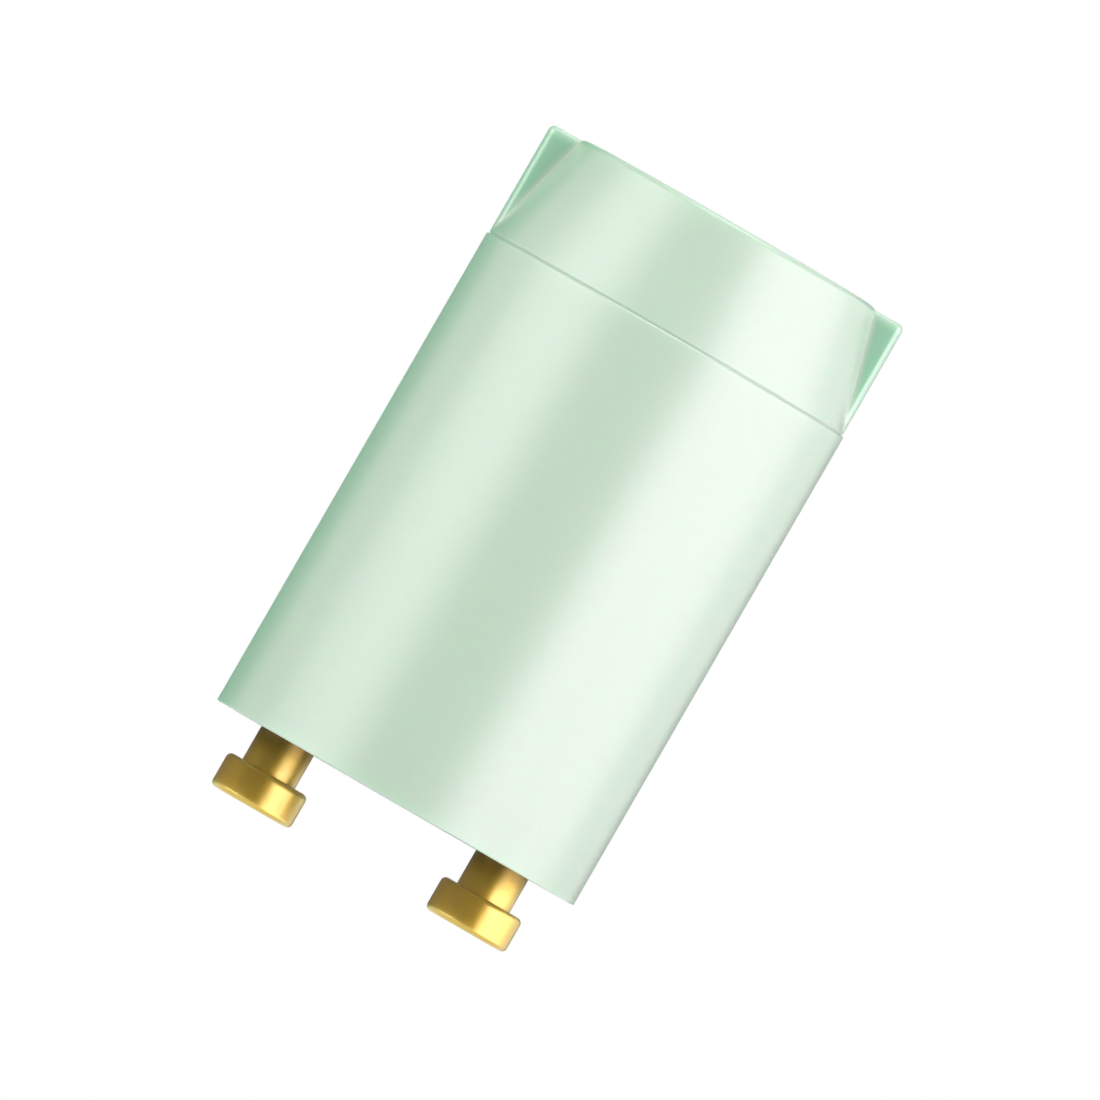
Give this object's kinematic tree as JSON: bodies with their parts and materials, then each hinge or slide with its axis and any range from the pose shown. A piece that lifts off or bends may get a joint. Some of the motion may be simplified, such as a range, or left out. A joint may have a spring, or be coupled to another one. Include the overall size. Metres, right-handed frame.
{
  "type": "fluorescent starter",
  "caption": "Plug-in glow starter: pale green moulded can with a tapered nose and grip wings, closed by a base disc with headed brass contact pins.",
  "frame": {"origin": "midway between the two contact pins, in the plane of their end faces", "axes": "+Z along the can's axis towards the closed nose; +X from the left pin to the right pin, in the plane of the grip wings; +Y away from the viewer"},
  "size_m": [0.021, 0.021, 0.0382],
  "materials": {
    "green_shell": "semi-gloss pale green polycarbonate",
    "base_resin": "matt off-white moulded base",
    "pin_brass": "satin turned brass",
    "solder": "bright tin solder",
    "bulb_glass": "clear glass",
    "nickel_wire": "nickel wire",
    "bimetal": "rolled bimetal strip",
    "dipped_coat": "dipped ochre coating",
    "tinned_wire": "tinned wire"
  },
  "bodies": {
    "starter": {"housing": "green_shell", "base_disc": "base_resin", "pin_left": "pin_brass", "pin_right": "pin_brass", "solder_left": "solder", "solder_right": "solder", "bulb_glass": "bulb_glass", "bulb_lead_left": "nickel_wire", "bulb_lead_right": "nickel_wire", "fixed_electrode": "nickel_wire", "capacitor": "dipped_coat", "capacitor_lead_left": "tinned_wire", "capacitor_lead_right": "tinned_wire"},
    "blade": {"bimetal_blade": "bimetal"}
  },
  "joints": [
    {"name": "bimetal_flex", "type": "hinge", "parent": "starter", "child": "blade", "pos_m": [0.00103, 0.00369, 0.01652], "axis": [0, -1, 0], "range_deg": [0, 5.6], "stiffness_Nm_per_rad": 0.002}
  ]
}
